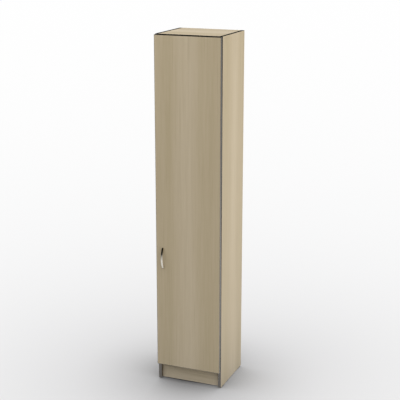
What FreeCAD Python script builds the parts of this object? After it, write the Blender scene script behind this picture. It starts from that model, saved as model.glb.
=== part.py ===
# Tall cabinet with one full-height door, four shelves and concealed hinges, in millimetres.
# x runs across the front, y from the front (-y) to the back, and z up from the floor.
# The origin is on the floor, under the middle of the box round the cabinet and its handle.
import FreeCAD, Part
import math
import os
from FreeCAD import Vector

# Overall sizes
width = 360.0
height = 1860.0
depth = 330.0  # from the front of the door to the rear edges of the sides
board = 16.0  # every board of the carcass and the door
band = 1.0  # edge band on the boards of the carcass
band_round = 0.5  # easing of the band's outer corners
door_edge = 2.0  # thicker edge band round the door
door_edge_round = 1.0
overrun = 1.0  # how far a cutting shape runs past the face it cuts
fit = 0.05  # play round each pin, dowel and screw in its hole

# Carcass
floor_gap = 5.0  # height of the glides under the sides
base_height = 90.0  # floor to the underside of the bottom panel
plinth_recess = 16.0
compartments = 5
fixed_shelf_index = 1  # counted from the lowest shelf, which is 0
shelf_setback = 10.0  # shelves stand back from the front edges of the sides
shelf_play = 1.0  # at each end of a loose shelf
shelf_back_play = 1.0

# Back panel in its grooves
back_thickness = 3.0
back_inset = 10.0  # rear edges of the sides to the back panel
groove_depth = 7.0
groove_play = 0.1
back_end_play = 0.5  # between the panel's edge and the bottom of a groove

# Door
side_reveal = 1.5
end_reveal = 3.0  # above the door, and from its lower edge to the underside of the bottom panel
swing_clearance = 0.35  # door's corner to the side's edge as it swings past

# Bow handle
handle_reach = 22.5
handle_length = 111.0
handle_width = 11.6
handle_end_width = 10.8
handle_thickness = 6.0
handle_tip = 7.0  # height of the blunt ends above the door
handle_foot = 14.0  # length of each foot on the door
handle_round = 1.7
handle_pitch = 96.0  # between the two screws
handle_inset = 39.1  # from the door's free edge
handle_height = 698.0  # middle of the handle above the floor
handle_screw_bite = 6.0
handle_screw_radius = 2.0
handle_screw_head = 4.0
handle_screw_head_height = 2.4
handle_hole_play = 0.3

# Cup hinges
hinge_count = 4
hinge_end_inset = 100.0  # from each end of the door
cup_edge = 3.0  # door's edge to the cup
cup_bore = 17.5  # radius
cup_play = 0.1
cup_wall = 1.0
cup_depth = 12.5
cup_floor_play = 0.5
cup_rim = 1.0  # how far the rim runs past the bore
cup_flange = 1.2
cup_ear_reach = 29.5
cup_ear_half = 6.5
cup_screw_offset = 6.0
cup_screw_pitch = 48.0
cup_screw_radius = 1.6
cup_screw_length = 10.0
cup_screw_head = 3.2
cup_screw_head_height = 1.5
pin_radius = 1.25
pin_half = 7.6
knuckle_radius = 2.0
knuckle_half = 4.5
knuckle_play = 0.3  # beside the knuckle
knuckle_floor_play = 1.5
lug_half = 2.6
neck_bend = 5.0
arm_thickness = 2.0
arm_half = 7.0
arm_length = 66.0  # behind the side's front edge
arm_lift = 8.0  # side's face to the underside of the arm
arm_flange = 5.0
arm_flange_wall = 1.5
arm_taper_start = 2.0
arm_taper_end = 10.0
arm_flange_start = 12.0
plate_line = 37.0  # side's front edge to the line of the plate's screws
plate_thickness = 2.0
plate_half_length = 24.0
plate_half_width = 9.0
plate_round = 4.0
plate_pitch = 32.0
plate_screw_radius = 2.5
plate_screw_length = 11.0
plate_screw_head = 4.0
plate_screw_head_height = 2.0
rail_half = 5.2
rail_start = 18.0
rail_end = 62.0
arm_screw_radius = 2.0
arm_screw_head = 3.4
arm_screw_head_height = 1.8
arm_screw_bite = 5.0
fixing_line = 52.0
adjusting_line = 28.0

# Shelf pins
shelf_pin_radius = 2.5
shelf_pin_in = 9.0
shelf_pin_out = 8.0
shelf_pin_collar = 3.5
shelf_pin_collar_length = 0.8
shelf_pin_round = 0.8
pin_hole_depth = 10.0
pin_pitch = 32.0
pin_holes_each_way = 2
front_row = 37.0  # side's front edge to the front row of holes
rear_row = 50.0  # side's rear edge to the rear row of holes

# Cam joints and dowels
cam_radius = 7.4
cam_height = 12.4
cam_bore_play = 0.1
cam_setback = 34.0  # end of the panel to the middle of the cam
cam_slot = 4.5  # half length of the cross on its face
cam_slot_half = 0.6
cam_slot_depth = 1.5
bolt_thread_radius = 2.5
bolt_thread_length = 11.0
bolt_shank_radius = 3.0
bolt_neck_radius = 1.8
bolt_neck_length = 3.0
bolt_head_half = 1.6
bolt_play = 0.5
dowel_radius = 4.0
dowel_in_side = 11.5
dowel_in_panel = 18.5
dowel_chamfer = 1.0
dowel_end_play = 0.5
joint_row = 45.0  # front and rear of a panel to its cams
joint_pitch = 32.0  # cam to dowel
plinth_cam_rise = 14.0  # cam above, and dowel below, the middle of the plinth

# Glides, nails and bumpers
glide_half_width = 7.0
glide_half_length = 16.0
glide_inset = 30.0
glide_chamfer = 1.0
nail_radius = 1.0
nail_length = 14.0
nail_head = 3.0
nail_head_height = 1.0
nail_sink = 1.5
bumper_radius = 4.0
bumper_round = 1.0
bumper_play = 0.3
bumper_inset = 30.0  # from each end of the door

# Cross recess of every screw
recess_share = 0.6  # of the head's radius
recess_half = 0.4
recess_depth = 0.9

# Worked out: the hinge axis, and the door gap that it needs
cup_inner = cup_bore - cup_play - cup_wall
axis_reach = math.sqrt(cup_inner ** 2 - knuckle_half ** 2) - knuckle_radius - knuckle_play
axis_inset = cup_edge + cup_bore - axis_reach
axis_depth = cup_depth - cup_wall - knuckle_floor_play - knuckle_radius
door_gap = math.hypot(axis_inset, axis_depth) - axis_depth + swing_clearance

# Worked out: places along y
rear_y = (depth + handle_reach) / 2
door_front_y = rear_y - depth
door_back_y = door_front_y + board
front_y = door_back_y + door_gap
core_front_y = front_y + band
back_panel_y = rear_y - back_inset - back_thickness
plinth_y = front_y + plinth_recess
shelf_front_y = front_y + shelf_setback
shelf_rear_y = back_panel_y - shelf_back_play
axis_y = door_back_y - axis_depth

# Worked out: places along x
half_width = width / 2
inner_half = half_width - board
door_half = half_width - side_reveal
axis_x = door_half - axis_inset
cup_x = door_half - cup_edge - cup_bore
arm_x = inner_half - arm_lift
handle_x = handle_inset - door_half

# Worked out: places along z
top_z = height - board
inside_bottom_z = base_height + board
door_bottom_z = base_height + end_reveal
door_top_z = height - end_reveal
clear_height = (top_z - inside_bottom_z - (compartments - 1) * board) / compartments
shelf_levels = [
    inside_bottom_z + clear_height + step * (clear_height + board) for step in range(compartments - 1)
]
fixed_z = shelf_levels[fixed_shelf_index]
loose_levels = [level for level in shelf_levels if level != fixed_z]
hinge_step = (door_top_z - door_bottom_z - 2 * hinge_end_inset) / (hinge_count - 1)
hinge_levels = [door_bottom_z + hinge_end_inset + step * hinge_step for step in range(hinge_count)]

RIGHT = Vector(1, 0, 0)
BACK = Vector(0, 1, 0)
UP = Vector(0, 0, 1)
HANDS = (-1, 1)  # left and right


def block(x, y, z):
    """A box between the two ends given along each axis."""
    corner = Vector(min(x), min(y), min(z))
    return Part.makeBox(abs(x[1] - x[0]), abs(y[1] - y[0]), abs(z[1] - z[0]), corner)


def rod(radius, start, end):
    """A round rod between two points."""
    run = Vector(*end) - Vector(*start)
    return Part.makeCylinder(radius, run.Length, Vector(*start), run)


def stacked_rod(steps, start=0):
    """A turned piece along z: each step is a radius and a length, from start upwards."""
    low = start
    pieces = []
    for radius, length in steps:
        pieces.append(rod(radius, (0, 0, low), (0, 0, low + length)))
        low += length
    return pieces[0].multiFuse(pieces[1:]).removeSplitter() if len(pieces) > 1 else pieces[0]


def placed(shape, origin, along_x, along_z):
    """A copy of a shape, with its x and z axes laid along two directions."""
    turn = FreeCAD.Rotation(along_x, along_z.cross(along_x), along_z, "ZXY")
    copy = shape.copy()
    copy.Placement = FreeCAD.Placement(Vector(*origin), turn)
    return copy


def raised(shape, z):
    """A copy of a shape, moved up by z."""
    copy = shape.copy()
    copy.translate(UP * z)
    return copy


def circles(shape):
    """The round edges of a turned piece."""
    return [edge for edge in shape.Edges if isinstance(edge.Curve, Part.Circle)]


def band_strip(x, y, z, outward, ease=band_round):
    """A strip of edge band, with the two long corners of its outer face eased."""
    strip = block(x, y, z)
    outer = max(strip.Faces, key=lambda face: face.CenterOfMass.dot(outward))
    long_edges = sorted(outer.Edges, key=lambda edge: edge.Length)[-2:]
    return strip.makeFillet(ease, long_edges)


def screw(radius, length, head, head_height):
    """A screw along z, its head above z = 0, with a rounded top and a cross recess."""
    top = rod(head, (0, 0, 0), (0, 0, head_height))
    crown = max(circles(top), key=lambda edge: edge.CenterOfMass.z)
    body = top.makeFillet(head_height / 2, [crown]).fuse(rod(radius, (0, 0, -length), (0, 0, 0)))
    reach = head * recess_share
    low = head_height - recess_depth
    span = (low, head_height + overrun)
    body = body.cut(block((-reach, reach), (-recess_half, recess_half), span))
    body = body.cut(block((-recess_half, recess_half), (-reach, reach), span))
    return body.removeSplitter()


# Places of the cams and dowels: the point on the side's inner face, and the way the cam faces
def cam_places():
    places = []
    for hand in HANDS:
        for level in (base_height, fixed_z, top_z):
            front = core_front_y if level != fixed_z else shelf_front_y
            for y in (front + joint_row, shelf_rear_y - joint_row):
                places.append((hand, y, level + board / 2, UP * -1))
        places.append((hand, plinth_y + board / 2, plinth_middle_z() + plinth_cam_rise, BACK))
    return places


def dowel_places():
    places = []
    for hand in HANDS:
        for level in (base_height, fixed_z, top_z):
            front = core_front_y if level != fixed_z else shelf_front_y
            for y in (front + joint_row + joint_pitch, shelf_rear_y - joint_row - joint_pitch):
                places.append((hand, y, level + board / 2))
        places.append((hand, plinth_y + board / 2, plinth_middle_z() - plinth_cam_rise))
    return places


def plinth_middle_z():
    return (floor_gap + base_height) / 2


def pin_rows():
    return (front_y + front_row, rear_y - rear_row)


# Cutting shapes for the joints, for one side or for the panels between the sides
def side_joint_holes(hand):
    face = hand * inner_half
    near = face - hand * overrun
    holes = []
    for side, y, z, facing in cam_places():
        if side == hand:
            far = face + hand * (bolt_thread_length + dowel_end_play)
            holes.append(rod(bolt_thread_radius + fit, (near, y, z), (far, y, z)))
    for side, y, z in dowel_places():
        if side == hand:
            far = face + hand * (dowel_in_side + dowel_end_play)
            holes.append(rod(dowel_radius + fit, (near, y, z), (far, y, z)))
    return holes


def panel_joint_holes(low_z, high_z):
    """Bores for the cams, their bolts and the dowels of the panel between two heights."""
    holes = []
    for hand, y, z, facing in cam_places():
        if low_z < z < high_z:
            end = hand * (inner_half + overrun)
            middle = Vector(hand * (inner_half - cam_setback), y, z)
            mouth = middle + facing * (board / 2 + overrun)
            bottom = middle + facing * (board / 2 - cam_height)
            holes.append(rod(cam_radius + cam_bore_play, mouth, bottom))
            holes.append(rod(bolt_shank_radius + bolt_play, middle, (end, y, z)))
    for hand, y, z in dowel_places():
        if low_z < z < high_z:
            end = hand * (inner_half + overrun)
            deep = hand * (inner_half - dowel_in_panel - dowel_end_play)
            holes.append(rod(dowel_radius + fit, (deep, y, z), (end, y, z)))
    return holes


# Carcass boards
def side_panel(hand):
    """The core of one side, with its groove, shelf holes and joint holes."""
    face = hand * inner_half
    near = face - hand * overrun
    core = block((hand * half_width, face), (core_front_y, rear_y), (floor_gap, height - band))
    groove_y = (back_panel_y - groove_play, back_panel_y + back_thickness + groove_play)
    groove_z = (inside_bottom_z - groove_depth, top_z + groove_depth)
    cuts = [block((near, face + hand * groove_depth), groove_y, groove_z)]
    for level in loose_levels:
        for row in pin_rows():
            for step in range(-pin_holes_each_way, pin_holes_each_way + 1):
                z = level - shelf_pin_radius + step * pin_pitch
                deep = face + hand * pin_hole_depth
                cuts.append(rod(shelf_pin_radius + fit, (near, row, z), (deep, row, z)))
    if hand > 0:
        for x, y, z in plate_screw_places():
            cuts.append(rod(plate_screw_radius + fit, (near, y, z), (face + plate_screw_length, y, z)))
    for x, y in glide_places():
        if x * hand > 0:
            top = (x, y, floor_gap + nail_length)
            cuts.append(rod(nail_radius + fit, (x, y, floor_gap - overrun), top))
    return core.cut(cuts + side_joint_holes(hand))


def side_band(hand):
    """Band on the front and top edges of one side, and on its inner face in front of the plinth."""
    x = (hand * half_width, hand * inner_half)
    front = band_strip(x, (front_y, core_front_y), (floor_gap, height), BACK * -1)
    top = band_strip(x, (core_front_y, rear_y), (height - band, height), UP)
    inner_x = (hand * inner_half, hand * (inner_half - band))
    inner = block(inner_x, (front_y + band_round, plinth_y), (floor_gap, base_height))
    return [front, top, inner]


def groove_across(low_z, high_z):
    """The stretch of groove that a panel between the sides carries."""
    y = (back_panel_y - groove_play, back_panel_y + back_thickness + groove_play)
    return block((-half_width, half_width), y, (low_z, high_z))


def top_panel():
    core = block((-inner_half, inner_half), (core_front_y, rear_y), (top_z, height))
    groove = groove_across(top_z - overrun, top_z + groove_depth)
    return core.cut([groove] + panel_joint_holes(top_z, height))


def bottom_panel():
    z = (base_height, inside_bottom_z)
    core = block((-inner_half, inner_half), (core_front_y, rear_y), z)
    groove = groove_across(inside_bottom_z - groove_depth, inside_bottom_z + overrun)
    return core.cut([groove] + panel_joint_holes(base_height, inside_bottom_z))


def plinth():
    z = (floor_gap + band, base_height)
    core = block((-inner_half, inner_half), (plinth_y, plinth_y + board), z)
    return core.cut(panel_joint_holes(floor_gap, base_height))


def plinth_band():
    y = (plinth_y, plinth_y + board)
    return band_strip((-inner_half, inner_half), y, (floor_gap, floor_gap + band), UP * -1)


def back_panel():
    reach = inner_half + groove_depth - back_end_play
    z = (inside_bottom_z - groove_depth, top_z + groove_depth - back_end_play)
    return block((-reach, reach), (back_panel_y, back_panel_y + back_thickness), z)


def front_band(half, y, z):
    return band_strip((-half, half), (y, y + band), z, BACK * -1)


def fixed_shelf():
    z = (fixed_z, fixed_z + board)
    core = block((-inner_half, inner_half), (shelf_front_y + band, shelf_rear_y), z)
    return core.cut(panel_joint_holes(fixed_z, fixed_z + board))


def loose_shelf(level):
    reach = inner_half - shelf_play
    return block((-reach, reach), (shelf_front_y + band, shelf_rear_y), (level, level + board))


# Small pieces of the carcass
def shelf_pin():
    """A pin along z, from inside the side's hole (below 0) to the shelf's side (above 0)."""
    stem = rod(shelf_pin_radius, (0, 0, -shelf_pin_in), (0, 0, shelf_pin_out))
    stem = stem.makeFillet(shelf_pin_round, circles(stem))
    collar = rod(shelf_pin_collar, (0, 0, 0), (0, 0, shelf_pin_collar_length))
    seat = block(
        (shelf_pin_radius, shelf_pin_collar + overrun),
        (-shelf_pin_collar, shelf_pin_collar),
        (-overrun, shelf_pin_collar_length + overrun),
    )
    return stem.fuse(collar.cut(seat)).removeSplitter()


def shelf_pins():
    model = shelf_pin()
    pins = []
    for hand in HANDS:
        for level in loose_levels:
            for row in pin_rows():
                at = (hand * inner_half, row, level - shelf_pin_radius)
                pins.append(placed(model, at, UP, RIGHT * -hand))
    return pins


def cam_lock():
    """A cam along z with its face at z = 0, open towards +x for the head of its bolt."""
    drum = rod(cam_radius, (0, 0, -cam_height), (0, 0, 0))
    deep = (-cam_slot_depth, overrun)
    cross = [
        block((-cam_slot, cam_slot), (-cam_slot_half, cam_slot_half), deep),
        block((-cam_slot_half, cam_slot_half), (-cam_slot, cam_slot), deep),
    ]
    axis = -board / 2
    start = -bolt_head_half - bolt_play
    channel = rod(bolt_shank_radius + bolt_play, (start, 0, axis), (cam_radius + overrun, 0, axis))
    return drum.cut(cross + [channel])


def cam_bolt():
    """A bolt along z from the side's inner face: thread below 0, shank, neck and head above."""
    head_start = cam_setback - bolt_head_half
    neck_start = head_start - bolt_neck_length
    steps = [
        (bolt_thread_radius, bolt_thread_length),
        (bolt_shank_radius, neck_start),
        (bolt_neck_radius, bolt_neck_length),
        (bolt_shank_radius, 2 * bolt_head_half),
    ]
    return stacked_rod(steps, -bolt_thread_length)


def dowel():
    stick = rod(dowel_radius, (0, 0, -dowel_in_side), (0, 0, dowel_in_panel))
    return stick.makeChamfer(dowel_chamfer, circles(stick))


def cam_locks():
    model = cam_lock()
    locks = []
    for hand, y, z, facing in cam_places():
        middle = Vector(hand * (inner_half - cam_setback), y, z)
        locks.append(placed(model, middle + facing * (board / 2), RIGHT * hand, facing))
    return locks


def cam_bolts():
    model = cam_bolt()
    bolts = []
    for hand, y, z, facing in cam_places():
        bolts.append(placed(model, (hand * inner_half, y, z), UP, RIGHT * -hand))
    return bolts


def dowels():
    model = dowel()
    return [placed(model, (hand * inner_half, y, z), UP, RIGHT * -hand) for hand, y, z in dowel_places()]


def glide_places():
    middle = half_width - board / 2
    return [(hand * middle, y) for hand in HANDS for y in (front_y + glide_inset, rear_y - glide_inset)]


def glides():
    """Plastic pads under the sides, each with a sunk hole for its nail."""
    pads = []
    for x, y in glide_places():
        wide = (x - glide_half_width, x + glide_half_width)
        pad = block(wide, (y - glide_half_length, y + glide_half_length), (0, floor_gap))
        rim = [edge for edge in pad.Edges if edge.BoundBox.ZMax < glide_chamfer]
        pad = pad.makeChamfer(glide_chamfer, rim)
        sink_top = nail_sink + nail_head_height
        sink = rod(nail_head + fit, (x, y, -overrun), (x, y, sink_top))
        pads.append(pad.cut([sink, rod(nail_radius + fit, (x, y, 0), (x, y, floor_gap + overrun))]))
    return pads


def glide_nails():
    seat = nail_sink + nail_head_height
    shank_length = nail_length + floor_gap - seat
    nail = stacked_rod([(nail_head, nail_head_height), (nail_radius, shank_length)], nail_sink)
    return [placed(nail, (x, y, 0), RIGHT, UP) for x, y in glide_places()]


# Door
def handle_screw_places():
    return [(handle_x, handle_height + step * handle_pitch / 2) for step in HANDS]


def cup_screw_places():
    x = cup_x - cup_screw_offset
    return [(x, level + step * cup_screw_pitch / 2) for level in hinge_levels for step in HANDS]


def plate_screw_places():
    y = front_y + plate_line
    x = inner_half - plate_thickness
    return [(x, y, level + step * plate_pitch / 2) for level in hinge_levels for step in HANDS]


def door_panel():
    """The core of the door, bored for the hinge cups, their screws and the handle's screws."""
    side = door_half - door_edge
    z = (door_bottom_z + door_edge, door_top_z - door_edge)
    core = block((-side, side), (door_front_y, door_back_y), z)
    near = door_back_y + overrun
    cuts = []
    for level in hinge_levels:
        deep = door_back_y - cup_depth - cup_floor_play
        cuts.append(rod(cup_bore, (cup_x, near, level), (cup_x, deep, level)))
    for x, level in cup_screw_places():
        cuts.append(rod(cup_screw_radius + fit, (x, near, level), (x, door_back_y - cup_screw_length, level)))
    for x, level in handle_screw_places():
        hole = handle_screw_radius + handle_hole_play
        cuts.append(rod(hole, (x, near, level), (x, door_front_y - overrun, level)))
    return core.cut(cuts)


def door_band():
    y = (door_front_y, door_back_y)
    side = door_half - door_edge
    strips = []
    for hand in HANDS:
        x = (hand * side, hand * door_half)
        z = (door_bottom_z, door_top_z)
        strips.append(band_strip(x, y, z, RIGHT * hand, door_edge_round))
    for end, inward in ((door_bottom_z, door_edge), (door_top_z, -door_edge)):
        z = (end, end + inward)
        strips.append(band_strip((-side, side), y, z, UP * -inward, door_edge_round))
    return strips


def arc(start, middle, end):
    return Part.Arc(Vector(*start), Vector(*middle), Vector(*end)).toShape()


def line(start, end):
    return Part.LineSegment(Vector(*start), Vector(*end)).toShape()


def handle_profile():
    """The bow seen from its side: a thick arch with a foot at each end, extruded across."""
    half = handle_length / 2
    inside = half - handle_foot
    x = -handle_width / 2
    crown = handle_reach - handle_thickness
    edges = [
        line((x, 0, inside), (x, 0, half)),
        line((x, 0, half), (x, -handle_tip, half)),
        arc((x, -handle_tip, half), (x, -handle_reach, 0), (x, -handle_tip, -half)),
        line((x, -handle_tip, -half), (x, 0, -half)),
        line((x, 0, -half), (x, 0, -inside)),
        arc((x, 0, -inside), (x, -crown, 0), (x, 0, inside)),
    ]
    return Part.Face(Part.Wire(edges)).extrude(RIGHT * handle_width)


def handle_outline():
    """The bow seen from the front: widest in the middle, narrower at its feet, extruded outwards."""
    half = handle_length / 2
    wide = handle_width / 2
    narrow = handle_end_width / 2
    y = overrun
    edges = [
        line((-narrow, y, -half), (narrow, y, -half)),
        arc((narrow, y, -half), (wide, y, 0), (narrow, y, half)),
        line((narrow, y, half), (-narrow, y, half)),
        arc((-narrow, y, half), (-wide, y, 0), (-narrow, y, -half)),
    ]
    return Part.Face(Part.Wire(edges)).extrude(BACK * -(handle_reach + 2 * overrun))


def door_handle():
    """The bow handle, with a blind screw hole in each foot."""
    bow = handle_profile().common(handle_outline())
    off_door = [edge for edge in bow.Edges if edge.BoundBox.YMin < -handle_tip - overrun]
    bow = bow.makeFillet(handle_round, off_door)
    bow.translate(Vector(handle_x, door_front_y, handle_height))
    holes = []
    for x, z in handle_screw_places():
        deep = door_front_y - handle_screw_bite - handle_hole_play
        holes.append(rod(handle_screw_radius + fit, (x, door_front_y + overrun, z), (x, deep, z)))
    return bow.cut(holes)


def handle_screws():
    model = screw(handle_screw_radius, board + handle_screw_bite, handle_screw_head, handle_screw_head_height)
    return [placed(model, (x, door_back_y, z), RIGHT, BACK) for x, z in handle_screw_places()]


def door_bumpers():
    """Soft buttons on the back of the door, over the left side's front edge."""
    length = door_gap - bumper_play
    button = rod(bumper_radius, (0, 0, 0), (0, 0, length))
    crown = max(circles(button), key=lambda edge: edge.CenterOfMass.z)
    button = button.makeFillet(bumper_round, [crown])
    x = board / 2 - half_width
    levels = (door_bottom_z + bumper_inset, door_top_z - bumper_inset)
    return [placed(button, (x, door_back_y, z), RIGHT, BACK) for z in levels]


# Hinges, each modelled at z = 0 and raised to its level
def hinge_cup():
    """The cup with its rim and ears, and two lugs inside that hold the hinge pin."""
    floor_y = door_back_y - cup_depth
    rim_y = door_back_y + cup_flange
    shell = rod(cup_bore - cup_play, (cup_x, door_back_y, 0), (cup_x, floor_y, 0))
    rim = rod(cup_bore + cup_rim, (cup_x, rim_y, 0), (cup_x, door_back_y, 0))
    ear_x = cup_x - cup_screw_offset
    ears = block(
        (ear_x - cup_ear_half, ear_x + cup_ear_half),
        (door_back_y, rim_y),
        (-cup_ear_reach, cup_ear_reach),
    )
    corners = [edge for edge in ears.Edges if edge.BoundBox.YLength > cup_flange / 2]
    ears = ears.makeFillet(cup_ear_half / 2, corners)
    hollow = rod(cup_inner, (cup_x, rim_y + overrun, 0), (cup_x, floor_y + cup_wall, 0))
    cup = shell.multiFuse([rim, ears]).removeSplitter().cut(hollow)
    lug_front = knuckle_half + knuckle_play
    inside = rod(cup_inner + cup_wall / 2, (cup_x, door_back_y, 0), (cup_x, floor_y + cup_wall / 2, 0))
    for hand in HANDS:
        lug = block(
            (axis_x - lug_half, cup_x + cup_bore),
            (floor_y + cup_wall / 2, axis_y + lug_half),
            (hand * lug_front, hand * cup_bore),
        )
        cup = cup.fuse(lug.common(inside))
    cuts = [rod(pin_radius + fit / 2, (axis_x, axis_y, -pin_half - fit), (axis_x, axis_y, pin_half + fit))]
    for hand in HANDS:
        z = hand * cup_screw_pitch / 2
        ends = (ear_x, door_back_y - overrun, z), (ear_x, rim_y + overrun, z)
        cuts.append(rod(cup_screw_radius + fit, *ends))
    return cup.removeSplitter().cut(cuts)


def hinge_arm():
    """The arm: a hooked neck round the pin, and a channel over the mounting plate."""
    left = arm_x - arm_thickness
    tip_y = axis_y - knuckle_radius
    bend_y = tip_y + neck_bend
    end_y = front_y + arm_length
    half = knuckle_half
    knuckle = rod(knuckle_radius, (axis_x, axis_y, -half), (axis_x, axis_y, half))
    cross_bar = block((left + neck_bend, axis_x), (tip_y, tip_y + arm_thickness), (-half, half))
    centre = Vector(left + neck_bend, bend_y, -half)
    corner = block((left, left + neck_bend), (tip_y, bend_y), (-half, half))
    outer = Part.makeCylinder(neck_bend, 2 * half, centre, UP)
    inner = Part.makeCylinder(neck_bend - arm_thickness, 2 * half, centre, UP)
    bend = corner.common(outer).cut(inner)
    outline = [
        (bend_y, half),
        (front_y + arm_taper_start, half),
        (front_y + arm_taper_end, arm_half),
        (end_y, arm_half),
    ]
    outline += [(y, -z) for y, z in reversed(outline)]
    points = [Vector(left, y, z) for y, z in outline]
    strap = Part.Face(Part.makePolygon(points + points[:1])).extrude(RIGHT * arm_thickness)
    pieces = [cross_bar, bend, strap]
    for hand in HANDS:
        z = (hand * arm_half, hand * (arm_half - arm_flange_wall))
        pieces.append(block((arm_x, arm_x + arm_flange), (front_y + arm_flange_start, end_y), z))
    arm = knuckle.multiFuse(pieces).removeSplitter()
    cuts = [rod(pin_radius + fit, (axis_x, axis_y, -half - overrun), (axis_x, axis_y, half + overrun))]
    for y in (front_y + fixing_line, front_y + adjusting_line):
        cuts.append(rod(arm_screw_radius + fit, (left - overrun, y, 0), (arm_x + overrun, y, 0)))
    return arm.cut(cuts)


def hinge_plate():
    """The plate screwed to the side, with the raised rail that the arm sits on."""
    line_y = front_y + plate_line
    low = inner_half - plate_thickness
    base = block(
        (low, inner_half),
        (line_y - plate_half_width, line_y + plate_half_width),
        (-plate_half_length, plate_half_length),
    )
    corners = [edge for edge in base.Edges if edge.BoundBox.XLength > plate_thickness / 2]
    base = base.makeFillet(plate_round, corners)
    rail = block((arm_x, inner_half), (front_y + rail_start, front_y + rail_end), (-rail_half, rail_half))
    cuts = []
    for hand in HANDS:
        z = hand * plate_pitch / 2
        hole = plate_screw_radius + fit
        cuts.append(rod(hole, (low - overrun, line_y, z), (inner_half + overrun, line_y, z)))
    for y in (front_y + fixing_line, front_y + adjusting_line):
        deep = arm_x + arm_screw_bite + fit
        cuts.append(rod(arm_screw_radius + fit, (arm_x - overrun, y, 0), (deep, y, 0)))
    return base.fuse(rail).removeSplitter().cut(cuts)


def hinge_pins():
    pin = rod(pin_radius, (axis_x, axis_y, -pin_half), (axis_x, axis_y, pin_half))
    return [raised(pin, level) for level in hinge_levels]


def cup_screws():
    model = screw(cup_screw_radius, cup_screw_length + cup_flange, cup_screw_head, cup_screw_head_height)
    y = door_back_y + cup_flange
    return [placed(model, (x, y, z), RIGHT, BACK) for x, z in cup_screw_places()]


def plate_screws():
    length = plate_screw_length + plate_thickness - fit
    model = screw(plate_screw_radius, length, plate_screw_head, plate_screw_head_height)
    return [placed(model, at, UP, RIGHT * -1) for at in plate_screw_places()]


def arm_screws(line):
    """One screw on each arm, at a distance behind the side's front edge."""
    length = arm_thickness + arm_screw_bite
    model = screw(arm_screw_radius, length, arm_screw_head, arm_screw_head_height)
    x = arm_x - arm_thickness
    return [placed(model, (x, front_y + line, level), UP, RIGHT * -1) for level in hinge_levels]


def all_nodes():
    """Every sub-part by name: one shape, or a list of separate solids."""
    shelf_z = [(level, level + board) for level in loose_levels]
    loose_half = inner_half - shelf_play
    nodes = {
        "side_left": side_panel(-1),
        "side_right": side_panel(1),
        "side_left_band": side_band(-1),
        "side_right_band": side_band(1),
        "top_panel": top_panel(),
        "top_panel_band": front_band(inner_half, front_y, (top_z, height)),
        "bottom_panel": bottom_panel(),
        "bottom_panel_band": front_band(inner_half, front_y, (base_height, inside_bottom_z)),
        "plinth": plinth(),
        "plinth_band": plinth_band(),
        "back_panel": back_panel(),
        "shelf_fixed": fixed_shelf(),
        "shelf_fixed_band": front_band(inner_half, shelf_front_y, (fixed_z, fixed_z + board)),
        "shelf_pins": shelf_pins(),
        "cam_locks": cam_locks(),
        "cam_bolts": cam_bolts(),
        "dowels": dowels(),
        "floor_glides": glides(),
        "glide_nails": glide_nails(),
        "door_panel": door_panel(),
        "door_band": door_band(),
        "door_handle": door_handle(),
        "handle_screws": handle_screws(),
        "door_bumpers": door_bumpers(),
        "hinge_pins": hinge_pins(),
        "hinge_cup_screws": cup_screws(),
        "hinge_plate_screws": plate_screws(),
        "hinge_fixing_screws": arm_screws(fixing_line),
        "hinge_adjusting_screws": arm_screws(adjusting_line),
    }
    for number, level in enumerate(loose_levels, 1):
        nodes[f"shelf_{number}"] = loose_shelf(level)
        nodes[f"shelf_{number}_band"] = front_band(loose_half, shelf_front_y, shelf_z[number - 1])
    cup, arm, plate = hinge_cup(), hinge_arm(), hinge_plate()
    for number, level in enumerate(hinge_levels, 1):
        nodes[f"hinge_cup_{number}"] = raised(cup, level)
        nodes[f"hinge_arm_{number}"] = raised(arm, level)
        nodes[f"hinge_plate_{number}"] = raised(plate, level)
    return nodes


def save(name, shape):
    """Write one node as a STEP file of its separate solids."""
    shapes = shape if isinstance(shape, list) else [shape]
    solids = [solid for piece in shapes for solid in piece.Solids]
    whole = solids[0] if len(solids) == 1 else Part.makeCompound(solids)
    whole.exportStep(os.path.join("parts", name + ".step"))
    volume = sum(solid.Volume for solid in solids) / 1000
    print(f"{name}: {len(solids)} solid(s), {volume:.2f} cm3, valid {whole.isValid()}")


os.makedirs("parts", exist_ok=True)
for name, shape in all_nodes().items():
    save(name, shape)
print(f"door gap {door_gap:.3f}, hinge axis at x {axis_x:.3f}, y {axis_y:.3f}")
print(f"hinge levels {[round(level, 1) for level in hinge_levels]}")
print(f"shelf undersides {[round(level, 1) for level in shelf_levels]}")
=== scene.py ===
# %% [markdown]
# A tall cabinet with one door
#
# This is a tall, narrow cabinet made of melamine-faced chipboard: a box of boards, one door on four
# concealed hinges, and a bow handle. The boards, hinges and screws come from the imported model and
# stay as they are. This lesson gives them their finishes, makes the cast handle as a smooth mesh,
# and sets up the light, floor and camera. Lengths are in metres. The sizes of grains, spots and
# bumps are in millimetres, as a workshop gives them, and MM turns them into metres.

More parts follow.
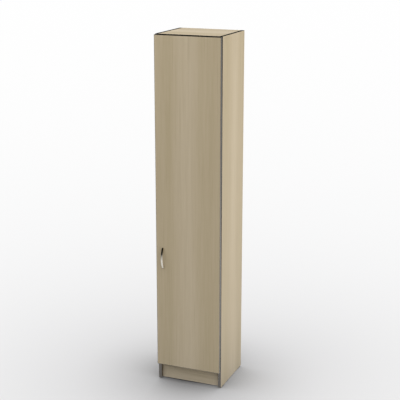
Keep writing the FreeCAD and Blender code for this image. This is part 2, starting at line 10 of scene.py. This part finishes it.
# %% Load the cabinet
import math
import bpy
from mathutils import Euler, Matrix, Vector


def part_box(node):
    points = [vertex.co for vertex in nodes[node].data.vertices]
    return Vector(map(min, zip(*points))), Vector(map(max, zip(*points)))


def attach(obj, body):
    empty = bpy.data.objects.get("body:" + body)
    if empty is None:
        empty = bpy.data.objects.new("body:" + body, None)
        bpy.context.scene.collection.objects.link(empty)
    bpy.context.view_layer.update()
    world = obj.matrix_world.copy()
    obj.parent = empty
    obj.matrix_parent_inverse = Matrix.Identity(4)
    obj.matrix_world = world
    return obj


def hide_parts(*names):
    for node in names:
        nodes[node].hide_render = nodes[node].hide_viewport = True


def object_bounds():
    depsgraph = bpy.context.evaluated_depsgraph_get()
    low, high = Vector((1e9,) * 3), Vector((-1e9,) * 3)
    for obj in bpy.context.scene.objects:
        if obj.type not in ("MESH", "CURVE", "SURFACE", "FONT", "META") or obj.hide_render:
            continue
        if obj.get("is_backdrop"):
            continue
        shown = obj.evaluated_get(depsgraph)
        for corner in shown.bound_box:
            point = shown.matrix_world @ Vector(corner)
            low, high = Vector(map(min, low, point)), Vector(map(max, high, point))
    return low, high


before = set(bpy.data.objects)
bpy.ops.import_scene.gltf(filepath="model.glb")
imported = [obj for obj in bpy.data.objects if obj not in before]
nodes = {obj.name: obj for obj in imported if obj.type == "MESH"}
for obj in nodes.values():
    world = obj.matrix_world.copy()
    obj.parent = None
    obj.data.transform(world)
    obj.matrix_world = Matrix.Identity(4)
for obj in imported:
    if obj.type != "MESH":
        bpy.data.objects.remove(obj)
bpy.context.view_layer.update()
MM = 0.001

# %% [markdown]
# A few helpers carry every finish below. Colours are picked as sRGB hex values, the way a paint chart
# gives them, and shaders want linear light, so one function turns them. Another adds a node with its
# settings and its links, so that a material reads as a short list of steps. Sums, mixed colours and
# mixed shaders come back so often that each has a short form of its own.

# %% Helpers for colours and nodes
# A Mix node has sockets for several kinds of value. These are the numbers of those for colours.
MIX_A = 6
MIX_B = 7
MIX_OUT = 2


def linear(hex_colour):
    """A hex sRGB colour as linear red, green, blue and alpha, by the curve of the sRGB standard."""
    channels = [int(hex_colour[i : i + 2], 16) / 255 for i in (1, 3, 5)]
    return [c / 12.92 if c <= 0.04045 else ((c + 0.055) / 1.055) ** 2.4 for c in channels] + [1.0]


def add(tree, kind, inputs=None, **settings):
    """Add one node; inputs maps a socket's name or number to a value or to another node's output."""
    made = tree.nodes.new("ShaderNode" + kind)
    for name, value in settings.items():
        setattr(made, name, value)
    for key, value in (inputs or {}).items():
        if isinstance(value, bpy.types.NodeSocket):
            tree.links.new(value, made.inputs[key])
        else:
            made.inputs[key].default_value = value
    return made


def calc(tree, operation, *values):
    """The result of a Math node; the values are numbers or other nodes' outputs."""
    return add(tree, "Math", dict(enumerate(values)), operation=operation).outputs[0]


def mixed(tree, share, first, second):
    """Two colours mixed: a share of 0 gives the first, 1 the second."""
    return add(tree, "Mix", {0: share, MIX_A: first, MIX_B: second}, data_type="RGBA").outputs[MIX_OUT]


def blended(tree, share, first, second):
    """Two shaders mixed, in the same order as mixed."""
    return add(tree, "MixShader", {0: share, 1: first, 2: second}).outputs[0]


def new_material(name, **sockets):
    """A material with one Principled shader; sockets are its plain values, with _ for a space."""
    material = bpy.data.materials.new(name)
    material.use_nodes = True
    tree = material.node_tree
    shader = tree.nodes["Principled BSDF"]
    for key, value in sockets.items():
        shader.inputs[key.replace("_", " ")].default_value = value
    return material, tree, shader


# %% [markdown]
# The camera comes first, because everything else is judged through it. The cabinet's straight edges
# fix where it stood: a little above the cabinet's top, to its right, looking down. A long lens keeps
# the upright edges almost parallel.

# %% Camera
CAMERA_AT = Vector((1.9513, -4.8003, 2.4045))
CAMERA_YAW = math.radians(22.06)
CAMERA_PITCH = math.radians(15.30)
FOCAL_PIXELS = 1024.5
FRAME_PIXELS = 400  # the picture's width, in the same pixels as the focal length
SENSOR_MM = 36.0
VIEW_DEPTH = 200.0  # farther than the floor's far corners

camera_data = bpy.data.cameras.new("camera")
camera_data.sensor_width = SENSOR_MM
camera_data.lens = FOCAL_PIXELS * SENSOR_MM / FRAME_PIXELS
camera_data.clip_end = VIEW_DEPTH
camera = bpy.data.objects.new("camera", camera_data)
camera.location = CAMERA_AT
camera.rotation_euler = Euler((math.pi / 2 - CAMERA_PITCH, 0.0, CAMERA_YAW))
bpy.context.scene.collection.objects.link(camera)
bpy.context.scene.camera = camera
print("lens", round(camera_data.lens, 1), "mm")

# %% [markdown]
# The floor is a roll of matt studio paper that runs out into white. A curved backdrop could be
# modelled, but a flat sheet is enough here, because its finish fades out long before its edge. Its
# own centre lies near the cabinet's middle, so its coordinates also measure the way from there.

# %% Floor sheet
FLOOR_SIZE = 60.0
FADE_CENTRE = Vector((-0.04, -0.09, 0.0))

half = FLOOR_SIZE / 2
floor_mesh = bpy.data.meshes.new("floor")
corners = [(-half, -half, 0), (half, -half, 0), (half, half, 0), (-half, half, 0)]
floor_mesh.from_pydata(corners, [], [(0, 1, 2, 3)])
floor = bpy.data.objects.new("floor", floor_mesh)
floor.location = FADE_CENTRE
bpy.context.scene.collection.objects.link(floor)
floor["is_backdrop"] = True
print("floor:", FLOOR_SIZE, "m square")

# %% [markdown]
# The tone of the paper comes first. A dome of even light leaves only a weak shadow, so a shadow is
# painted into the paper that the camera sees: its colour darkens where something stands close over
# it, which Ambient Occlusion measures. The paper that lights the boards has a tone of its own, so that
# the light on the cabinet and the look of the ground can be set apart.

# %% Tone of the paper, with a painted shadow
FLOOR_SEEN = "#B0AFAD"
# Painted shadow: the seen paper's colour darkens towards this under and beside the cabinet.
FLOOR_PAINTED_SHADOW = "#444444"
FLOOR_BOUNCE = "#7E7E7C"
PAINTED_SHADOW_REACH = 0.5  # metres
PAINTED_SHADOW_SAMPLES = 8

studio_paper, tree, shader = new_material("matt_paper_sweep", Roughness=0.9, Specular_IOR_Level=0.0)
rays = add(tree, "LightPath")
seen = rays.outputs["Is Camera Ray"]
# Ambient Occlusion darkens the seen paper's colour: a painted contact shadow round the cabinet's foot.
painted_shadow_ao = add(tree, "AmbientOcclusion", {"Distance": PAINTED_SHADOW_REACH}, samples=PAINTED_SHADOW_SAMPLES)
shaded = mixed(tree, painted_shadow_ao.outputs["AO"], linear(FLOOR_PAINTED_SHADOW), linear(FLOOR_SEEN))
tree.links.new(mixed(tree, seen, linear(FLOOR_BOUNCE), shaded), shader.inputs["Base Color"])
floor_mesh.materials.append(studio_paper)
print("paper seen as", FLOOR_SEEN, "and under the cabinet towards", FLOOR_PAINTED_SHADOW)

# %% [markdown]
# Then the paper fades. A gradient painted on a wall would slide when the view turns, so the fade
# depends only on the distance from the cabinet: half of the paper has gone at FLOOR_FADE. What takes
# its place is plain white for the camera and nothing at all for other rays, which go on to the dome.
# Reflections see less of the paper, because a bright sheet mirrored right under the handle would
# hide the handle's shading.

# %% Fade of the paper
FLOOR_FADE = 0.90  # metres at which half of the floor has turned white
FADE_POWER = 1.36  # how sharply it turns there
MIRRORED_AWAY = 0.3  # how much of the paper reflections don't see

place = add(tree, "TexCoord")
distance = add(tree, "VectorMath", {0: place.outputs["Object"]}, operation="LENGTH")
share = calc(tree, "MULTIPLY", distance.outputs["Value"], 1 / FLOOR_FADE)
power = calc(tree, "POWER", share, FADE_POWER)
nearness = calc(tree, "DIVIDE", 1.0, calc(tree, "ADD", power, 1.0))
mirrored_share = calc(tree, "MULTIPLY_ADD", rays.outputs["Is Glossy Ray"], -MIRRORED_AWAY, 1.0)
paper_share = calc(tree, "MULTIPLY", nearness, mirrored_share)
clear = add(tree, "BsdfTransparent")
white = add(tree, "Emission", {"Color": linear("#FFFFFF"), "Strength": 1.0})
beyond = blended(tree, seen, clear.outputs[0], white.outputs[0])
surface = blended(tree, paper_share, beyond, shader.outputs[0])
tree.links.new(surface, tree.nodes["Material Output"].inputs["Surface"])
print("half of the paper has gone at", FLOOR_FADE, "m")

# %% [markdown]
# The light is a soft dome, as under one large white cloth. It is full overhead and falls to nothing
# at eye level, as a power of the sine of the height over the horizon. That makes the top lightest,
# the upright faces darker, and the shadow soft all round the foot. Lamps could do it, but each would
# add a shadow with an edge. Below the horizon light comes up mostly from the right, past the edge of
# the paper. It lifts the right side over the door, and is a little warmer than what comes from above.

# %% Dome of light
CEILING = 2.526  # strength straight overhead
CEILING_POWER = 1.25  # 1 falls as the sine of the elevation, more keeps the light overhead
CEILING_TINT = "#F9FAFF"
LOW_ALL_ROUND = 0.03  # strength below the horizon, from every side
LOW_RIGHT = 2.11  # and what is added there towards the right
LOW_TINT = "#FFF9ED"

world = bpy.data.worlds.new("soft_dome")
world.use_nodes = True
bpy.context.scene.world = world
sky = world.node_tree
sky.nodes.clear()
towards = add(sky, "SeparateXYZ", {0: add(sky, "TexCoord").outputs["Generated"]})
rise = towards.outputs["Z"]  # the sine of the elevation
fall = calc(sky, "POWER", calc(sky, "MAXIMUM", rise, 0.0), CEILING_POWER)
from_above = calc(sky, "MULTIPLY", fall, CEILING)
rightness = calc(sky, "MAXIMUM", towards.outputs["X"], 0.0)
low_light = calc(sky, "MULTIPLY_ADD", rightness, LOW_RIGHT, LOW_ALL_ROUND)
from_below = calc(sky, "MULTIPLY", low_light, calc(sky, "LESS_THAN", rise, 0.0))
low = add(sky, "Background", {"Color": linear(LOW_TINT), "Strength": from_below})
high = add(sky, "Background", {"Color": linear(CEILING_TINT), "Strength": from_above})
fill = add(sky, "AddShader", {0: low.outputs[0], 1: high.outputs[0]})
print("dome:", CEILING, "overhead and", LOW_RIGHT, "from the lower right")

# %% [markdown]
# Reflections see a studio of their own: bright below, grey at eye level and dark overhead. Bright
# metal is only as dark as what it mirrors, and this is what gives the handle its dark upper half and
# the top edges their black line. Black cards could be hung over the cabinet, but they would take
# light away from it as well. The boards' satin gloss picks up a little of this studio too.

# %% Studio in the reflections
MIRROR_STOPS = [  # sine of the elevation, and the brightness that a reflection sees there
    (-1.00, 1.00),
    (-0.57, 0.85),
    (-0.24, 0.42),
    (-0.04, 0.24),
    (0.05, 0.06),
    (0.09, 0.003),
    (0.60, 0.002),
]
MIRROR_LEVEL = 1.45
MIRROR_LEAN = 0.25  # how much brighter it is towards the right, as a share


def ramped(tree, value, stops, interpolation="LINEAR"):
    """A colour for a value; stops pair a place from 0 to 1 with a hex colour or a grey level."""
    ramp = add(tree, "ValToRGB", {"Fac": value})
    ramp.color_ramp.interpolation = interpolation
    elements = ramp.color_ramp.elements
    while len(elements) < len(stops):
        elements.new(1.0)
    for element, (place, tone) in zip(elements, stops):
        element.position = place
        element.color = linear(tone) if isinstance(tone, str) else (tone, tone, tone, 1.0)
    return ramp.outputs["Color"]


rise_share = add(sky, "MapRange", {"Value": rise, "From Min": -1.0, "From Max": 1.0})
mirror_stops = [((sine + 1) / 2, level) for sine, level in MIRROR_STOPS]
mirror_tone = ramped(sky, rise_share.outputs["Result"], mirror_stops)
leaning = calc(sky, "MULTIPLY_ADD", towards.outputs["X"], MIRROR_LEVEL * MIRROR_LEAN, MIRROR_LEVEL)
studio = add(sky, "Background", {"Color": mirror_tone, "Strength": leaning})
print("reflections see", MIRROR_LEVEL, "straight below")

# %% [markdown]
# The world now joins the three: plain white for the camera and for rays that pass through clear
# things, the studio for reflections, and the dome for everything that is lit. A white dome alone
# would do for the background, but then it would also have to light the cabinet.

# %% Which ray sees what
white = add(sky, "Background", {"Color": linear("#FFFFFF"), "Strength": 1.0})
rays = add(sky, "LightPath")
straight = calc(sky, "MAXIMUM", rays.outputs["Is Camera Ray"], rays.outputs["Is Transmission Ray"])
lit_or_mirrored = blended(sky, rays.outputs["Is Glossy Ray"], fill.outputs[0], studio.outputs[0])
add(sky, "OutputWorld", {"Surface": blended(sky, straight, lit_or_mirrored, white.outputs[0])})
print("world nodes:", len(sky.nodes))

# %% [markdown]
# One soft lamp hangs high in front, a little to the left. It is nearer to the top of the door than to
# its foot, so the door darkens slowly downwards, and the handle gets a faint soft shadow on its
# lower right. Reflections and the camera don't see the lamp itself, or the handle would show a
# square spot.

# %% Lamp
KEY_POWER = 6.2
KEY_SIZE = 1.2
KEY_FROM = Vector((-0.9, -1.2, 2.8))
KEY_TO = Vector((0.0, 0.0, 1.4))

key_data = bpy.data.lights.new("key", "AREA")
key_data.energy = KEY_POWER
key_data.size = KEY_SIZE
key = bpy.data.objects.new("key", key_data)
key.location = KEY_FROM
key.rotation_euler = (KEY_TO - KEY_FROM).to_track_quat("-Z", "Y").to_euler()
key.visible_camera = False
key.visible_glossy = False
bpy.context.scene.collection.objects.link(key)
print("lamp:", KEY_POWER, "W,", round((KEY_TO - KEY_FROM).length, 2), "m away")

# %% [markdown]
# Melamine-faced chipboard is raw chipboard with a printed paper, here a light ash, pressed on its two
# faces under a clear resin. The eye gets a satin surface with a long straight grain. A picture of
# wood could be laid on it, but it would blur from close by. So the grain is made from noise that is
# stretched along the board, in layers from two fingers' width down to a pore.

# %% Noise along the grain
AXES = {"x": (1, 0, 0), "y": (0, 1, 0), "z": (0, 0, 1)}


def along_axis(tree, vector, axis):
    """How far a vector reaches along one axis."""
    return add(tree, "VectorMath", {0: vector, 1: AXES[axis]}, operation="DOT_PRODUCT").outputs["Value"]


def stretched(tree, position, across, along, grain):
    """Noise whose spots are across wide and along long, in millimetres, lying along the grain axis."""
    scales = [1 / ((along if axis == grain else across) * MM) for axis in "xyz"]
    scaled = add(tree, "VectorMath", {0: position, 1: scales}, operation="MULTIPLY")
    return add(tree, "TexNoise", {"Vector": scaled.outputs[0], "Scale": 1.0, "Detail": 1.0}).outputs["Fac"]


# %% [markdown]
# The printed sheet repeats across its width: a pale heart between two darker flanks. One wide noise
# could stand for it, but on the real door the zones run from top to bottom in a fixed order. So a
# ramp draws them, and a slow noise lets them wander sideways.

# %% Broad zones of the print
PRINT_REPEAT = 420.0
PRINT_ZONES = [  # millimetres from the print's first edge, and a tone from 0, dark, to 1, pale
    (0, 0.45),
    (45, 0.12),
    (75, 0.15),
    (120, 0.6),
    (165, 0.86),
    (205, 0.86),
    (245, 0.3),
    (330, 0.12),
    (400, 0.4),
]
WANDER = 14.0  # about how far the zones wander sideways, in millimetres
WANDER_ACROSS = 150  # the slow noise's spots, across the board and along it
WANDER_ALONG = 800


def broad_zones(tree, position, grain, across, start):
    """The print's light and dark zones; start is where its first edge lies on the across axis."""
    waves = stretched(tree, position, WANDER_ACROSS, WANDER_ALONG, grain)
    reach = 2 * WANDER * MM
    sway = add(tree, "MapRange", {"Value": waves, "To Min": start - reach, "To Max": start + reach})
    inward = calc(tree, "SUBTRACT", along_axis(tree, position, across), sway.outputs[0])
    turns = calc(tree, "MULTIPLY", inward, 1 / (PRINT_REPEAT * MM))
    stops = [(at / PRINT_REPEAT, tone) for at, tone in PRINT_ZONES]
    return ramped(tree, calc(tree, "FRACT", turns), stops, "B_SPLINE")


# %% [markdown]
# Finer grain lies over the zones in four layers. The sum of zones and layers picks a colour from
# three close tones of ash. A few long thin streaks, a little darker, stand for the wood's open rings,
# which a sum of soft noises alone would hardly draw.

# %% Grain and colour of the print
# Each layer: its width across, its length along, both in millimetres, and its weight.
GRAIN = [(34, 900, 0.28), (11, 500, 0.24), (3.5, 220, 0.26), (1.2, 60, 0.22)]
GRAIN_RANGE = {"From Min": 0.25, "From Max": 0.75}  # noise mostly keeps to these, so they are drawn out
GRAIN_SHARE = 0.55  # of the tone, the rest being the broad zones
PRINT_TONES = [(0.22, "#B7A888"), (0.50, "#C1B295"), (0.80, "#CBBDA3")]
PRINT_STREAK = "#A89878"
STREAK_ACROSS = 4.5
STREAK_ALONG = 330
STREAK_RANGE = {"From Min": 0.60, "From Max": 0.74, "To Max": 0.35}  # only the noise's peaks, and faint


def ash_print(tree, position, grain, zones):
    """The colour of the printed paper, with zones as its broad light and dark."""
    tone = calc(tree, "MULTIPLY", zones, 1 - GRAIN_SHARE)
    for wide, long, weight in GRAIN:
        noise = stretched(tree, position, wide, long, grain)
        layer = add(tree, "MapRange", {"Value": noise, **GRAIN_RANGE}, clamp=False)
        tone = calc(tree, "MULTIPLY_ADD", layer.outputs[0], weight * GRAIN_SHARE, tone)
    noise = stretched(tree, position, STREAK_ACROSS, STREAK_ALONG, grain)
    streak = add(tree, "MapRange", {"Value": noise, **STREAK_RANGE})
    return mixed(tree, streak.outputs[0], ramped(tree, tone, PRINT_TONES), linear(PRINT_STREAK))


# %% [markdown]
# Flakes of wood show wherever an edge or a hole is left bare. They are angular, so a Voronoi texture
# fits them better than noise: each cell is a flake with a tone of its own.

# %% Bare chipboard
CHIP_SIZE = 3.0
CHIP_DARK = "#8F7348"
CHIP_LIGHT = "#CDB68A"


def bare_chips(tree, position):
    """The colour of raw chipboard."""
    flakes = add(tree, "TexVoronoi", {"Vector": position, "Scale": 1 / (CHIP_SIZE * MM)})
    tone = add(tree, "SeparateColor", {0: flakes.outputs["Color"]})
    return mixed(tree, tone.outputs[0], linear(CHIP_DARK), linear(CHIP_LIGHT))


# %% [markdown]
# One recipe serves every board, with another grain direction for upright and level ones. Which faces
# carry the print could be set by hand on each mesh, but it also follows from the surface normal in
# the board's own axes, which stays right when the door swings. The plinth is a low strip, so its
# print starts below the floor and brings the pale heart onto it.

# %% Board recipe and its four uses
FACE_COSINE = 0.7  # a normal within about 45 degrees of an axis belongs to that face
BOARD_ROUGHNESS = 0.45
PORE_ACROSS = 0.6
PORE_ALONG = 9
PORE_DEPTH = 0.05
PORE_STRENGTH = 0.25
PLINTH_START = -150.0  # in millimetres from the floor


def bumped(tree, shader, height, depth, strength):
    """Raise a surface by a height from 0 to 1, which stands for depth in millimetres."""
    bump = add(tree, "Bump", {"Height": height, "Distance": depth * MM, "Strength": strength})
    tree.links.new(bump.outputs[0], shader.inputs["Normal"])


def melamine_board(use, grain, face, across, start):
    """Ash print on the faces square to one axis, chipboard elsewhere; start is the print's first edge."""
    material, tree, shader = new_material("melamine_faced_chipboard_" + use, Roughness=BOARD_ROUGHNESS)
    place = add(tree, "TexCoord")
    position = place.outputs["Object"]
    printed = ash_print(tree, position, grain, broad_zones(tree, position, grain, across, start))
    square = calc(tree, "ABSOLUTE", along_axis(tree, place.outputs["Normal"], face))
    is_face = calc(tree, "GREATER_THAN", square, FACE_COSINE)
    colour = mixed(tree, is_face, bare_chips(tree, position), printed)
    tree.links.new(colour, shader.inputs["Base Color"])
    pores = stretched(tree, position, PORE_ACROSS, PORE_ALONG, grain)
    bumped(tree, shader, pores, PORE_DEPTH, PORE_STRENGTH)
    return material


door_low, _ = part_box("door_panel")
side_low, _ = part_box("side_right")
ash_side = melamine_board("side", grain="z", face="x", across="y", start=side_low.y)
ash_door = melamine_board("door", grain="z", face="y", across="x", start=door_low.x)
ash_level = melamine_board("level", grain="x", face="z", across="y", start=side_low.y)
ash_plinth = melamine_board("plinth", grain="x", face="y", across="z", start=PLINTH_START * MM)
print("nodes in a board's finish:", len(ash_door.node_tree.nodes))

# %% [markdown]
# The boards' edges are closed with a plastic band, ABS with a metal-effect lacquer: 1 mm on the
# carcass, 2 mm round the door. It could be painted one grey, but it behaves as metal does: mid grey
# where it faces the pale floor and nearly black where it faces the dark overhead. So the top edges
# draw a dark outline while the upright ones stay grey, from any side. The lacquer's flakes are finer
# than a pixel; they are drawn 1 mm.

# %% Edge band
LACQUER_FLAKE = 1.0
LACQUER_DETAIL = 2.0
BAND_TONES = [(0.3, "#7A7570"), (0.7, "#908B85")]
BAND_GLOSS = 0.10
BAND_DULL = 0.18


def spots(tree, position, size, detail):
    """Even noise whose spots are size wide, in millimetres; detail adds finer spots in them."""
    inputs = {"Vector": position, "Scale": 1 / (size * MM), "Detail": detail}
    return add(tree, "TexNoise", inputs).outputs["Fac"]


def tinted(tree, shader, value, tones, gloss, dull):
    """Let one value set the colour, by a ramp, and the roughness between gloss and dull."""
    tree.links.new(ramped(tree, value, tones), shader.inputs["Base Color"])
    matt = add(tree, "MapRange", {"Value": value, "To Min": gloss, "To Max": dull})
    tree.links.new(matt.outputs[0], shader.inputs["Roughness"])


band_abs, tree, shader = new_material("metal_effect_abs_band", Metallic=1.0)
flakes = spots(tree, add(tree, "TexCoord").outputs["Object"], LACQUER_FLAKE, LACQUER_DETAIL)
tinted(tree, shader, flakes, BAND_TONES, BAND_GLOSS, BAND_DULL)
print("edge band:", band_abs.name)

# %% [markdown]
# The back is a thin sheet of fibreboard, brown and slightly fuzzy behind, with a painted face towards
# the inside. Fibreboard has no grain, only a felt of fibres that the press leaves cloudy. So a fine
# speckle and wide soft clouds make the brown, and the paint lets a trace of both through.

# %% Fibreboard back
FELT_SIZE = 2.0
FELT_DETAIL = 4.0
CLOUD_SIZE = 70.0
CLOUD_DETAIL = 3.0
CLOUD_SHARE = 0.45
BROWN_TONES = [(0.38, "#7E6041"), (0.62, "#967651")]
PAINT_TONES = [(0.38, "#C1B493"), (0.62, "#CABE9F")]
PAINTED_BELOW = -0.5  # the painted face looks forward, so its normal's Y lies under this
FELT_DEPTH = 0.1
FELT_STRENGTH = 0.3

fibreboard, tree, shader = new_material("painted_fibreboard", Roughness=0.75)
place = add(tree, "TexCoord")
felt = spots(tree, place.outputs["Object"], FELT_SIZE, FELT_DETAIL)
clouds = spots(tree, place.outputs["Object"], CLOUD_SIZE, CLOUD_DETAIL)
felted = add(tree, "Mix", {"Factor": CLOUD_SHARE, "A": felt, "B": clouds}).outputs[0]
facing = along_axis(tree, place.outputs["Normal"], "y")
inside = calc(tree, "LESS_THAN", facing, PAINTED_BELOW)
faces = mixed(tree, inside, ramped(tree, felted, BROWN_TONES), ramped(tree, felted, PAINT_TONES))
tree.links.new(faces, shader.inputs["Base Color"])
bumped(tree, shader, felt, FELT_DEPTH, FELT_STRENGTH)
print("back:", fibreboard.name)

# %% [markdown]
# The fittings are steel with a nickel plating, die-cast zinc for the cams, black nylon for the
# glides, beech for the dowels and a clear soft plastic for the door bumpers. One recipe serves them:
# a base colour broken up by a fine noise, which also varies the gloss.

# %% Fittings
SPOT_DETAIL = 3.0
SPOT_DARKEST = 0.3  # the noise's values that get the dark and the light tone
SPOT_LIGHTEST = 0.7
SPOT_STRENGTH = 0.4


def speckled(name, dark, light, spot, relief, gloss, dull, metallic=0.0):
    """A finish in two tones with a varied gloss; spot is their width and relief their height, in mm."""
    material, tree, shader = new_material(name, Metallic=metallic)
    noise = spots(tree, add(tree, "TexCoord").outputs["Object"], spot, SPOT_DETAIL)
    tinted(tree, shader, noise, [(SPOT_DARKEST, dark), (SPOT_LIGHTEST, light)], gloss, dull)
    bumped(tree, shader, noise, relief, SPOT_STRENGTH)
    return material


nickel_steel = speckled(
    "nickel_plated_steel", "#D6D3CC", "#E2DFD9",
    spot=3.0, relief=0.004, gloss=0.36, dull=0.44, metallic=1.0,
)
cast_zinc = speckled(
    "die_cast_zinc", "#96968F", "#B3B3AD",
    spot=0.8, relief=0.05, gloss=0.42, dull=0.58, metallic=1.0,
)
black_nylon = speckled(
    "moulded_black_nylon", "#151516", "#232324",
    spot=1.0, relief=0.04, gloss=0.45, dull=0.60,
)
beech = speckled("turned_beech", "#B98F5C", "#D9B787", spot=1.5, relief=0.05, gloss=0.60, dull=0.75)
soft_pvc = speckled("moulded_clear_pvc", "#D8D6CE", "#ECEAE2", spot=3.0, relief=0.02, gloss=0.25, dull=0.35)
polished_nickel = speckled(
    "polished_nickel_plate", "#DAD4C8", "#E4DED2",
    spot=6.0, relief=0.002, gloss=0.06, dull=0.10, metallic=1.0,
)
fittings = [nickel_steel, cast_zinc, black_nylon, beech, soft_pvc, polished_nickel]
print("fittings:", [finish.name for finish in fittings])

# %% [markdown]
# Every carried-over piece gets its finish by name. It could be picked by hand in the window, but the
# names already say what the pieces are. Those that end in _band are edge band, a short table holds
# most of the others, and everything that it leaves out is a plated steel fitting.

# %% Dress the pieces
FINISHES = {
    "side_left": ash_side,
    "side_right": ash_side,
    "door_panel": ash_door,
    "top_panel": ash_level,
    "bottom_panel": ash_level,
    "shelf_1": ash_level,
    "shelf_2": ash_level,
    "shelf_3": ash_level,
    "shelf_fixed": ash_level,
    "plinth": ash_plinth,
    "back_panel": fibreboard,
    "cam_locks": cast_zinc,
    "dowels": beech,
    "floor_glides": black_nylon,
    "door_bumpers": soft_pvc,
    "door_handle": polished_nickel,
}

for name, piece in nodes.items():
    finish = band_abs if name.endswith("_band") else FINISHES.get(name, nickel_steel)
    piece.data.materials.clear()
    piece.data.materials.append(finish)
print("finishes:", sorted({piece.data.materials[0].name for piece in nodes.values()}))

# %% [markdown]
# The bow handle is a zinc casting, polished and nickel plated. Its solid from the workshop model has
# the right size but flat facets, and a mirror finish shows every facet. So it is made again as a
# smooth sweep: two arcs, one outside and one inside, give the centre and the thickness at each
# station along the bow. The arcs take their length and reach from the solid's box.

# %% Arcs of the bow handle
HANDLE_STATIONS = 72
HANDLE_FOOT = 14.0 * MM  # height of each foot on the door
HANDLE_THICK = 6.0 * MM  # at the middle of the bow
HANDLE_TIP = 7.0 * MM  # where the outer arc starts over the door

handle_low, handle_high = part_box("door_handle")
handle_x = (handle_low.x + handle_high.x) / 2
handle_z = (handle_low.z + handle_high.z) / 2
half_length = (handle_high.z - handle_low.z) / 2
half_width = (handle_high.x - handle_low.x) / 2
reach = handle_high.y - handle_low.y
door_face = handle_high.y


def arc_point(share, half_chord, start, crown):
    """A point on an arc, as its way out from the door and up from the handle's middle.

    share runs from -1 to 1; start is how far out the arc's ends are, crown its middle.
    """
    rise = crown - start
    radius = (half_chord**2 + rise**2) / (2 * rise)
    angle = share * math.asin(half_chord / radius)
    return start + radius * math.cos(angle) - (radius - rise), radius * math.sin(angle)


print("handle:", round(2 * half_length / MM, 1), "mm long, reaching", round(reach / MM, 1), "mm out")

# %% [markdown]
# Between the arcs lies a rounded section. An ellipse would be too soft and a rectangle too hard, so
# it is a superellipse, which turns from one into the other with a single power. It is widest at the
# feet, where the casting takes its screws. A last ring at each end lies flat on the door.

# %% Rings of the bow handle
SECTION_POINTS = 36
SECTION_POWER = 3.4  # 2 is an ellipse, more is squarer
MIDDLE_WIDTH_SHARE = 0.92  # the bow's width at its middle, against its feet


def section(centre, half_step, width):
    """A ring round centre; it and half_step, the way to the outer face, are pairs of out and up."""
    ring = []
    for k in range(SECTION_POINTS):
        turn = 2 * math.pi * k / SECTION_POINTS
        c, s = math.cos(turn), math.sin(turn)
        c = math.copysign(abs(c) ** (2 / SECTION_POWER), c)
        s = math.copysign(abs(s) ** (2 / SECTION_POWER), s)
        out = centre[0] + half_step[0] * c
        up = centre[1] + half_step[1] * c
        ring.append((handle_x + width * s, door_face - max(out, 0.0), handle_z + up))
    return ring


rings = []
for i in range(HANDLE_STATIONS + 1):
    share = -1 + 2 * i / HANDLE_STATIONS
    outer = arc_point(share, half_length, HANDLE_TIP, reach)
    inner = arc_point(share, half_length - HANDLE_FOOT, 0.0, reach - HANDLE_THICK)
    centre = [(a + b) / 2 for a, b in zip(outer, inner)]
    half_step = [(a - b) / 2 for a, b in zip(outer, inner)]
    width = half_width * (MIDDLE_WIDTH_SHARE + (1 - MIDDLE_WIDTH_SHARE) * share**2)
    rings.append(section(centre, half_step, width))
feet = [[(x, door_face, z) for x, _, z in ring] for ring in (rings[0], rings[-1])]
rings = [feet[0], *rings, feet[1]]
print("rings:", len(rings))

# %% [markdown]
# The rings become a mesh, with a four-sided face between each pair of neighbouring points and a flat
# cap at each end. Shading is smooth everywhere but on the caps. The new handle takes the place of the
# old one and rides on the door.

# %% Mesh of the bow handle
points = [point for ring in rings for point in ring]
faces = []
for i in range(len(rings) - 1):
    for k in range(SECTION_POINTS):
        a = i * SECTION_POINTS + k
        b = i * SECTION_POINTS + (k + 1) % SECTION_POINTS
        faces.append((a, b, b + SECTION_POINTS, a + SECTION_POINTS))
faces.append(tuple(reversed(range(SECTION_POINTS))))
faces.append(tuple(range(len(points) - SECTION_POINTS, len(points))))
bow_mesh = bpy.data.meshes.new("bow_handle")
bow_mesh.from_pydata(points, [], faces)
bow_mesh.validate()
bow_mesh.materials.append(polished_nickel)
for polygon in bow_mesh.polygons:
    polygon.use_smooth = len(polygon.vertices) == 4
bow = bpy.data.objects.new("bow_handle", bow_mesh)
bpy.context.scene.collection.objects.link(bow)
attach(bow, "door")
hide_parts("door_handle")
print("handle:", len(bow_mesh.polygons), "faces")

# %% [markdown]
# The last cell sets the view transform to Standard, so that a colour renders as it is written. It
# also prints the box that the dressed cabinet fills.

# %% Finish
bpy.context.scene.view_settings.view_transform = "Standard"
low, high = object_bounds()
print("visual box from", list(low), "to", list(high))
